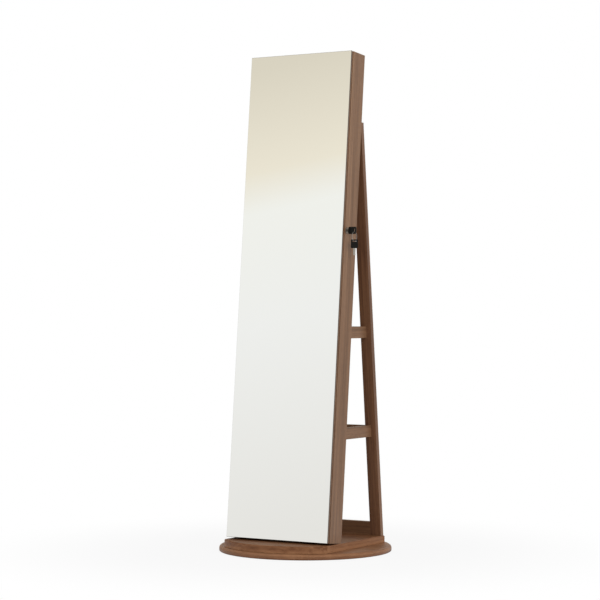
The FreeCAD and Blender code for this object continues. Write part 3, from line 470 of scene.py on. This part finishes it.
def edged_walnut(name, foot, tone):
    """Veneered-top board with banded edges, grain along each edge, and painted light on its sides and foot."""
    material, start = start_finish(name)
    x, y, z = measured(place_on(start), ACROSS, BACK, UP)
    facing = facing_of(start)
    flat = abs(facing.along(UP)).fade(*TOP_SLOPE)
    side = abs(facing.along(ACROSS)).fade(*SIDE_SLOPE)
    length = side * y + (1 - side) * x
    width = flat * y + (1 - flat) * z
    depth = flat * z + (1 - flat) * (side * x + (1 - side) * y)
    # Painted light along the foot of the front and sides, lifting the shade that gathers beside the disc
    painted_light_at_foot = 1 - (z - foot).fade(0.0, PAINTED_LIGHT_REACH)
    # Painted light: faces that look to either side are made paler
    tone = tone + side * PAINTED_SIDE_LIGHT + painted_light_at_foot * (1 - flat) * PAINTED_FOOT_LIGHT
    grain = (length, width, depth)
    return walnut_surface(material, start, grain, BASE_WOOD, tone, BASE_FIGURE, BASE_SWIRL, PLATFORM_SHINE)


def silvered_glass():
    """Mirror: silvered face, and dark painted edges all round."""
    material, start = start_finish("silvered_glass")
    face = abs(facing_of(start).along(CABINET_BACK)).fade(*MIRROR_SLOPE)
    haze = place_on(start).noise(*HAZE_NOISE, scale=HAZE_SCALE).fade(*HAZE_EDGE)
    colour = face.blend(srgb(*MIRROR_EDGE), srgb(*MIRROR_SILVER))
    rough = face * (MIRROR_ROUGHNESS + haze * HAZE_ROUGHNESS) + (1 - face) * MIRROR_EDGE_ROUGHNESS
    return end_finish(material, start, {"Base Color": colour, "Metallic": face, "Roughness": rough})


def velvet(name, dark, light):
    """Short-pile cloth: brushed patches, a fine nap and a pale sheen at its turns."""
    material, start = start_finish(name)
    place = place_on(start)
    brushed = stretched(start, measured(place, ACROSS, BACK, UP), PATCH_FINENESS).noise(*PATCH_NOISE)
    nap = place.noise(*NAP_NOISE, scale=NAP_SCALE)
    colour = (brushed * PATCH_SHARE + nap * NAP_SHARE).ramp(VELVET_STOPS, (dark, light))
    rough = VELVET_ROUGHNESS + brushed.swing() * PATCH_ROUGHNESS
    return end_finish(material, start, {
        "Base Color": colour, "Roughness": rough, "Normal": nap.bump(**NAP_RELIEF),
        "Specular IOR Level": VELVET_SHINE, "Sheen Weight": SHEEN, "Sheen Roughness": SHEEN_ROUGHNESS,
        "Sheen Tint": srgb(*SHEEN_COLOUR),
    })


def metal(name, bright, dull, rough):
    """Plated or polished metal: fine brushing, faint clouding and small dull spots."""
    material, start = start_finish(name)
    place = place_on(start)
    lengths = measured(place, ACROSS, CABINET_BACK, CABINET_UP)
    brushed = stretched(start, lengths, BRUSHING_FINENESS).noise(*BRUSHING_NOISE)
    cloud = place.noise(*CLOUD_NOISE, scale=CLOUD_SCALE)
    spots = place.noise(*SPOT_NOISE, scale=SPOT_SCALE).fade(*SPOT_EDGE)
    tarnish = (cloud - CLOUD_START) * CLOUD_SHARE + spots * SPOT_SHARE
    colour = tarnish.maths("MAXIMUM", tarnish, 0.0).blend(srgb(*bright), srgb(*dull))
    gloss = rough + brushed.swing() * BRUSHING_ROUGHNESS + spots * SPOT_ROUGHNESS
    return end_finish(material, start, {
        "Base Color": colour, "Metallic": 1.0, "Roughness": gloss, "Normal": brushed.bump(**BRUSHING_RELIEF),
    })


def moulded(name, dark, light, rough, fineness, shine):
    """Moulded plastic or rubber: fine spark-etched skin and faint handling marks."""
    material, start = start_finish(name)
    place = place_on(start)
    skin = place.noise(*SKIN_NOISE, scale=fineness)
    marks = place.noise(*MARK_NOISE, scale=MARK_SCALE)
    colour = (marks * MARK_SHARE + skin * SKIN_SHARE).ramp(MOULDED_STOPS, (dark, light))
    gloss = rough + marks.swing() * MARK_ROUGHNESS
    return end_finish(material, start, {
        "Base Color": colour, "Roughness": gloss, "Normal": skin.bump(**SKIN_RELIEF),
        "Specular IOR Level": shine,
    })


def make_finishes():
    """Every finish of the part, by the record's slot name."""
    finishes = {
        "walnut": walnut("walnut_across", ACROSS, UP),
        "inner_walnut": walnut("walnut_inside", ACROSS, UP, tone=-0.05),
        "door_board": walnut("walnut_door", CABINET_UP, ACROSS, tone=0.02),
        "beech": walnut("dowel_beech", ACROSS, UP, tone=0.4),
        "mirror": silvered_glass(),
    }
    for make, kinds in ((velvet, VELVETS), (metal, METALS), (moulded, MOULDINGS)):
        for slot, values in kinds.items():
            finishes[slot] = make(*values)
    return finishes


def make_board_finishes():
    """Walnut of each board whose grain or tone is its own, by node name."""
    upright = walnut("walnut_upright", CABINET_UP, CABINET_BACK, tone=0.04, figured=0.25)
    legs = walnut("walnut_legs", LEG_UP, ACROSS, tone=0.02, figured=0.6, wood=LEG_WOOD)
    rails = walnut("walnut_rails", BACK, UP, tone=0.07)
    return {
        "left_side_panel": upright,
        "right_side_panel": upright,
        "back_panel": upright,
        "left_leg": legs,
        "right_leg": legs,
        "lower_left_shelf_rail": rails,
        "lower_right_shelf_rail": rails,
        "upper_left_shelf_rail": rails,
        "upper_right_shelf_rail": rails,
        "base_disc": banded_walnut("walnut_disc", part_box("base_disc")[1].x, tone=0.25),
        "turning_platform": edged_walnut("walnut_platform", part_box("turning_platform")[0].z, tone=0.08),
    }


def soften(piece, width):
    """Small rounded edges, so that each corner catches the light."""
    weld = piece.modifiers.new("joined_corners", "WELD")
    weld.merge_threshold = SAME_CORNER
    bevel = piece.modifiers.new("soft_edges", "BEVEL")
    bevel.width = width
    bevel.segments = EDGE_SEGMENTS
    bevel.limit_method = "ANGLE"
    bevel.angle_limit = math.radians(EDGE_ANGLE)
    bevel.use_clamp_overlap = True
    bevel.harden_normals = True


def dress_nodes(finishes, board_finishes):
    """Give each CAD node its finish, and the boards and plastic pieces their soft edges."""
    slots = {part["node"]: part["material_slot"] for part in frame["record"]["subparts"]}
    for name, piece in frame["nodes"].items():
        finish = board_finishes.get(name, finishes[slots[name]])
        for slot in piece.material_slots:
            slot.material = finish
        if slots[name] in SOFT_FITTING_SLOTS:
            soften(piece, FITTING_EDGE)
        elif slots[name] in SOFT_BOARD_SLOTS and name not in ROUNDED_BOARDS:
            soften(piece, BOARD_EDGE)


def cabinet_place(x, back, rise):
    """A point of the whole object from its X, its depth behind the hinge axis and its rise along it."""
    return Vector((x, HINGE_POINT.y, HINGE_POINT.z)) + CABINET_BACK * back + CABINET_UP * rise


def cabinet_points(node):
    """Corners of a node as X, depth behind the hinge axis and rise along it."""
    corners = [corner.co - CABINET_ORIGIN for corner in frame["nodes"][node].data.vertices]
    return [Vector((p.x, p.dot(CABINET_BACK), p.dot(CABINET_UP))) for p in corners]


def span(points):
    """Lowest and highest corner of some points."""
    low = Vector([min(p[axis] for p in points) for axis in range(3)])
    high = Vector([max(p[axis] for p in points) for axis in range(3)])
    return low, high


def stacked(points, gap):
    """Points in groups that lie apart along the cabinet's height."""
    groups = []
    last = None
    for point in sorted(points, key=lambda p: p.z):
        if last is None or point.z - last > gap:
            groups.append([])
        groups[-1].append(point)
        last = point.z
    return groups


def islands(mesh):
    """Corners of each loose piece of a mesh, in the mesh's own order."""
    shape = bmesh.new()
    shape.from_mesh(mesh)
    bmesh.ops.remove_doubles(shape, verts=shape.verts, dist=SAME_CORNER)
    seen = set()
    pieces = []
    for first in shape.verts:
        if first in seen:
            continue
        seen.add(first)
        found = [first]
        for corner in found:
            for edge in corner.link_edges:
                other = edge.other_vert(corner)
                if other not in seen:
                    seen.add(other)
                    found.append(other)
        pieces.append([corner.co.copy() for corner in found])
    shape.free()
    return pieces


def join_rows(shape, rows):
    """Faces between rings of corners that follow each other."""
    for first, second in zip(rows, rows[1:]):
        for turn in range(len(first)):
            after = (turn + 1) % len(first)
            shape.faces.new((first[turn], first[after], second[after], second[turn]))


def close_row(shape, row, tip):
    """Faces from a ring of corners to one corner in its middle."""
    for turn in range(len(row)):
        shape.faces.new((row[turn], row[(turn + 1) % len(row)], tip))


def kept_mesh(shape, name):
    """A mesh of a finished shape."""
    mesh = bpy.data.meshes.new(name)
    shape.to_mesh(mesh)
    shape.free()
    return mesh


def add_piece(name, mesh, body, slot, finishes):
    """A new piece of the object that rides on a body."""
    piece = bpy.data.objects.new(name, mesh)
    bpy.context.scene.collection.objects.link(piece)
    piece.data.materials.clear()
    piece.data.materials.append(finishes[slot])
    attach(piece, body)
    return piece


def domed_head():
    """Mesh of a low domed screw head, facing Z from its seat at the origin."""
    shape = bmesh.new()
    angles = [2 * math.pi * step / SCREW_SIDES for step in range(SCREW_SIDES)]
    rows = []
    for ring in range(SCREW_RINGS):
        share = 1 - ring / SCREW_RINGS
        height = SCREW_DOME * (1 - share ** 2)
        radius = SCREW_RADIUS * share
        corners = [(radius * math.cos(angle), radius * math.sin(angle), height) for angle in angles]
        rows.append([shape.verts.new(corner) for corner in corners])
    top = shape.verts.new((0.0, 0.0, SCREW_DOME))
    skirt = [shape.verts.new((corner.co.x, corner.co.y, -SCREW_SEAT)) for corner in rows[0]]
    join_rows(shape, [skirt, *rows])
    close_row(shape, rows[-1], top)
    shape.faces.new(list(reversed(skirt)))
    return kept_mesh(shape, "screw_head")


def crossed_bars():
    """Mesh of the two bars that leave the cross recess in a screw head."""
    shape = bmesh.new()
    size = (2 * CROSS_LENGTH * SCREW_RADIUS, 2 * CROSS_WIDTH * SCREW_RADIUS, 2 * CROSS_DEPTH, 1.0)
    for turn in (0.0, math.pi / 2):
        lift = Matrix.Translation((0, 0, SCREW_DOME))
        place = lift @ Matrix.Rotation(turn, 4, "Z") @ Matrix.Diagonal(size)
        bmesh.ops.create_cube(shape, size=1.0, matrix=place)
    return kept_mesh(shape, "screw_cross")


def carved(mesh, tool, name):
    """A mesh with another cut out of it."""
    collection = bpy.context.scene.collection
    body = bpy.data.objects.new("carved_body", mesh)
    knife = bpy.data.objects.new("carving_tool", tool)
    collection.objects.link(body)
    collection.objects.link(knife)
    cut = body.modifiers.new("cut", "BOOLEAN")
    cut.operation = "DIFFERENCE"
    cut.solver = "EXACT"
    cut.use_self = True
    cut.object = knife
    bpy.context.view_layer.update()
    made = bpy.data.meshes.new_from_object(body.evaluated_get(bpy.context.evaluated_depsgraph_get()))
    made.name = name
    bpy.data.objects.remove(body)
    bpy.data.objects.remove(knife)
    return made


def add_screws(name, places, way, body, finishes, head):
    """One piece with a screw head at each place, all facing one way."""
    facing = way.to_track_quat("Z", "Y").to_matrix().to_4x4()
    shape = bmesh.new()
    for index, place in enumerate(places):
        single = head.copy()
        single.transform(Matrix.Translation(place) @ facing @ Matrix.Rotation(SCREW_TURN * index, 4, "Z"))
        shape.from_mesh(single)
        bpy.data.meshes.remove(single)
    add_piece(name, kept_mesh(shape, name), body, "zinc_steel", finishes)


def box_leaf_x():
    """X of the outer face of the hinge leaves on the box."""
    points = cabinet_points("hinge_body_leaves")
    deepest = max(p.y for p in points)
    return min(p.x for p in points if p.y > deepest - FACE_DEPTH)


def add_hinge_screws(finishes, head):
    """Three screws in a zigzag in each leaf of each hinge."""
    leaf_x = box_leaf_x()
    places = []
    for group in stacked(cabinet_points("hinge_body_leaves"), HINGE_SPACING):
        low, high = span(group)
        for across, up in LEAF_SCREWS:
            places.append(cabinet_place(leaf_x, across * high.y, low.z + up * (high.z - low.z)))
    add_screws("hinge_body_screws", places, -ACROSS, "stand", finishes, head)

    door_back = span(cabinet_points("door_panel"))[1].y
    places = []
    for group in stacked(cabinet_points("hinge_door_leaves"), HINGE_SPACING):
        low, high = span(group)
        for across, up in LEAF_SCREWS:
            x = HINGE_POINT.x + across * (high.x - HINGE_POINT.x)
            places.append(cabinet_place(x, door_back, low.z + up * (high.z - low.z)))
    add_screws("hinge_door_screws", places, CABINET_BACK, "door", finishes, head)


def add_fitting_screws(finishes, head):
    """Screws of the keeper, the catch and its plate."""
    points = cabinet_points("lock_keeper")
    low, high = span(points)
    foot_back = max(p.y for p in points if p.z < low.z + FACE_DEPTH)
    middle = (low.x + high.x) / 2
    places = [cabinet_place(middle, foot_back, low.z + rise) for rise in KEEPER_SCREWS]
    add_screws("keeper_screws", places, CABINET_BACK, "door", finishes, head)

    low, high = span(cabinet_points("catch_plate"))
    places = [cabinet_place((low.x + high.x) / 2, high.y, (low.z + high.z) / 2)]
    add_screws("catch_plate_screw", places, CABINET_BACK, "door", finishes, head)

    low, high = span(cabinet_points("catch_magnet"))
    middle = (low.y + high.y) / 2
    places = [cabinet_place(low.x, middle, low.z + share * (high.z - low.z)) for share in CATCH_SCREWS]
    add_screws("catch_screws", places, -ACROSS, "stand", finishes, head)


def add_frame_screws(finishes, head):
    """Cross recesses on the flush screws that show at the back of the legs."""
    heads = {"leg_screw_heads": (LEG_BACK, []), "lap_screw_heads": (CABINET_BACK, [])}
    for corners in islands(frame["nodes"]["frame_screws"].data):
        for way, places in heads.values():
            top = max(corner.dot(way) for corner in corners)
            rim = [corner for corner in corners if corner.dot(way) > top - FLUSH_HEAD_DEPTH]
            middle = sum(rim, Vector()) / len(rim)
            reach = max((corner - middle).length for corner in rim)
            if len(rim) > FLUSH_HEAD_CORNERS and reach > SCREW_RADIUS:
                places.append(middle)
    for name, (way, places) in heads.items():
        add_screws(name, places, way, "stand", finishes, head)


def roll_section(x, middle, low, high):
    """Corners of one cross-section of a roll, flat at the back and drawn in near the roll's ends."""
    from_end = min(x - low.x, high.x - x)
    taper = min(1.0, from_end / ROLL_END_TAPER)
    draw = ROLL_END_DRAW + (1 - ROLL_END_DRAW) * math.sqrt(1 - (1 - taper) ** 2)
    reach = high.y - low.y - ROLL_SHRINK
    half_height = (high.z - low.z) / ROLL_COUNT / 2 - ROLL_CREASE
    corners = []
    for turn in range(ROLL_ROUND):
        angle = 2 * math.pi * turn / ROLL_ROUND
        crown = max(0.0, math.cos(angle)) ** ROLL_FULLNESS
        spread = math.copysign(abs(math.sin(angle)) ** ROLL_FULLNESS, math.sin(angle))
        back = high.y - crown * reach * draw
        corners.append(cabinet_place(x, back, middle + spread * half_height * draw))
    return corners


def roll_mesh(low, high):
    """Six stuffed rolls side by side between two corners of their tray."""
    pitch = (high.z - low.z) / ROLL_COUNT
    shape = bmesh.new()
    for index in range(ROLL_COUNT):
        middle = low.z + (index + 0.5) * pitch
        rows = []
        for step in range(ROLL_STEPS + 1):
            share = step / ROLL_STEPS
            x = low.x + ROLL_SHRINK + share * (high.x - low.x - 2 * ROLL_SHRINK)
            rows.append([shape.verts.new(corner) for corner in roll_section(x, middle, low, high)])
        join_rows(shape, rows)
        for row in (rows[0], rows[-1]):
            centre = sum((corner.co for corner in row), Vector()) / ROLL_ROUND
            close_row(shape, row, shape.verts.new(centre))
    bmesh.ops.recalc_face_normals(shape, faces=shape.faces)
    return kept_mesh(shape, "ring_roll_pads")


def puffed(rolls, glue_back):
    """Where the corners of the rolls go when they are filled as cloth that is glued along its back."""
    glued = rolls.vertex_groups.new(name="glued")
    for index, corner in enumerate(rolls.data.vertices):
        if (corner.co - CABINET_ORIGIN).dot(CABINET_BACK) > glue_back:
            glued.add([index], 1.0, "REPLACE")
    cloth = rolls.modifiers.new("stuffing", "CLOTH")
    cloth.settings.use_pressure = True
    cloth.settings.uniform_pressure_force = ROLL_PRESSURE
    cloth.settings.effector_weights.gravity = 0.0
    cloth.settings.shrink_min = -ROLL_SLACK
    cloth.settings.vertex_group_mass = glued.name
    cloth.point_cache.frame_end = ROLL_PUFF_STEPS
    scene = bpy.context.scene
    for step in range(1, ROLL_PUFF_STEPS + 1):
        scene.frame_set(step)
    evaluated = rolls.evaluated_get(bpy.context.evaluated_depsgraph_get())
    places = [corner.co.copy() for corner in evaluated.data.vertices]
    rolls.modifiers.remove(cloth)
    scene.frame_set(1)
    return places


def blow_up(rolls, low, high):
    """Fill the rolls and keep the shape that they take, flattened where they swell against each other."""
    pitch = (high.z - low.z) / ROLL_COUNT
    room = pitch / 2 - ROLL_CREASE
    for corner, end in zip(rolls.data.vertices, puffed(rolls, high.y - ROLL_GLUE_DEPTH)):
        start = corner.co.copy()
        move = end - start
        place = start + move * min(1.0, ROLL_PUFF_LIMIT / max(move.length, LEAST_MOVE))
        row = math.floor(((start - CABINET_ORIGIN).dot(CABINET_UP) - low.z) / pitch)
        rise = (place - CABINET_ORIGIN).dot(CABINET_UP) - low.z - (row + 0.5) * pitch
        corner.co = place + CABINET_UP * (max(-room, min(room, rise)) - rise)


def add_ring_rolls(finishes):
    """Soft rolls that grip rings between them, in place of their plain solids."""
    low, high = span(cabinet_points("ring_rolls"))
    rolls = add_piece("ring_roll_pads", roll_mesh(low, high), "stand", "roll_velvet", finishes)
    blow_up(rolls, low, high)
    rounder = rolls.modifiers.new("rounder", "SUBSURF")
    rounder.levels = 1
    rounder.render_levels = 1
    for face in rolls.data.polygons:
        face.use_smooth = True
    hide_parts("ring_rolls")


def add_floor():
    """Plain pale floor that looks white to the camera and keeps the object's soft shadow.

    In mirrors it turns to the backdrop's lower colour with distance.
    """
    bpy.ops.mesh.primitive_circle_add(vertices=FLOOR_SIDES, radius=FLOOR_RADIUS, fill_type="NGON")
    floor = bpy.context.object
    floor.name = "studio_floor"
    material, start = start_finish("studio_floor")
    x, y = measured(place_on(start), ACROSS, BACK)
    distance = start.maths("SQRT", x * x + y * y)
    away = distance.fade(FLOOR_FADE_START, FLOOR_FADE_END)
    path = start.node("LightPath")
    mirrored = path.output("Is Glossy Ray")
    seen = path.output("Is Camera Ray") + mirrored + path.output("Is Transmission Ray")
    glow = seen.maths("MINIMUM", seen, 1.0) * (FLOOR_GLOW + (1 - FLOOR_GLOW) * away)
    far = mirrored * distance.fade(FLOOR_FADE_START, MIRRORED_FLOOR_END)
    plain = start.node("BsdfDiffuse", {}, {"Color": FLOOR_GREY})
    colour = far.blend(WHITE, srgb(*MIRRORED_FLOOR_COLOUR))
    white = start.node("Emission", {}, {"Color": colour, "Strength": 1.0})
    surface = start.node("MixShader", {}, {"Fac": glow, 1: plain, 2: white})
    start.node("OutputMaterial", {}, {"Surface": surface})
    floor.data.materials.append(material)


def add_world():
    """Even white light; the camera sees white, and mirrors see a pale backdrop that turns to cream."""
    world = bpy.data.worlds.new("studio")
    bpy.context.scene.world = world
    world.use_nodes = True
    world.node_tree.nodes.clear()
    start = Socket(world.node_tree)
    way = start.node("TexCoord").output("Generated")
    rise = way.along(UP) - way.along(ACROSS) * BACKDROP_SLANT
    backdrop = rise.ramp(BACKDROP_STOPS, BACKDROP_COLOURS)
    path = start.node("LightPath")
    shine = path.output("Is Glossy Ray") + path.output("Is Transmission Ray")
    mirrored = shine.maths("MINIMUM", shine, 1.0)
    high = 1 - ZENITH_DIM
    light = way.along(UP).fade(ZENITH_START, 1.0).blend(WHITE, (high, high, high, 1.0))
    lit = start.node("Background", {}, {"Color": light, "Strength": STUDIO_LIGHT})
    shown_in_glass = start.node("Background", {}, {"Color": backdrop, "Strength": BACKDROP_LIGHT})
    plain = start.node("Background", {}, {"Color": WHITE, "Strength": 1.0})
    inner = start.node("MixShader", {}, {"Fac": mirrored, 1: lit, 2: shown_in_glass})
    outer = start.node("MixShader", {}, {"Fac": path.output("Is Camera Ray"), 1: inner, 2: plain})
    start.node("OutputWorld", {}, {"Surface": outer})


def add_lamp(name, place, size, power):
    """A soft square lamp that shines at the middle of the object."""
    data = bpy.data.lights.new(name, "AREA")
    data.size = size
    data.energy = power
    lamp = bpy.data.objects.new(name, data)
    lamp.location = place
    lamp.rotation_mode = "QUATERNION"
    lamp.rotation_quaternion = (Vector(LAMP_AIM) - Vector(place)).to_track_quat("-Z", "Y")
    lamp.visible_glossy = False
    lamp.visible_camera = False
    bpy.context.scene.collection.objects.link(lamp)


def add_camera():
    """The photograph's camera."""
    data = bpy.data.cameras.new("photo_camera")
    data.lens = CAMERA_LENS
    data.sensor_width = SENSOR_WIDTH
    camera = bpy.data.objects.new("photo_camera", data)
    turn = Matrix.Rotation(math.radians(CAMERA_TURN), 4, "Z")
    pitch = Matrix.Rotation(math.radians(90 + CAMERA_PITCH), 4, "X")
    camera.matrix_world = Matrix.Translation(CAMERA_PLACE) @ turn @ pitch
    bpy.context.scene.collection.objects.link(camera)
    bpy.context.scene.camera = camera


bpy.context.scene.view_settings.view_transform = "Standard"
add_camera()
add_world()
add_floor()
add_lamp("key_lamp", **KEY_LAMP)
add_lamp("fill_lamp", **FILL_LAMP)
add_lamp("rim_lamp", **RIM_LAMP)
FINISHES = make_finishes()
dress_nodes(FINISHES, make_board_finishes())
HEAD = carved(domed_head(), crossed_bars(), "screw_head_cut")
add_hinge_screws(FINISHES, HEAD)
add_fitting_screws(FINISHES, HEAD)
add_frame_screws(FINISHES, HEAD)
add_ring_rolls(FINISHES)
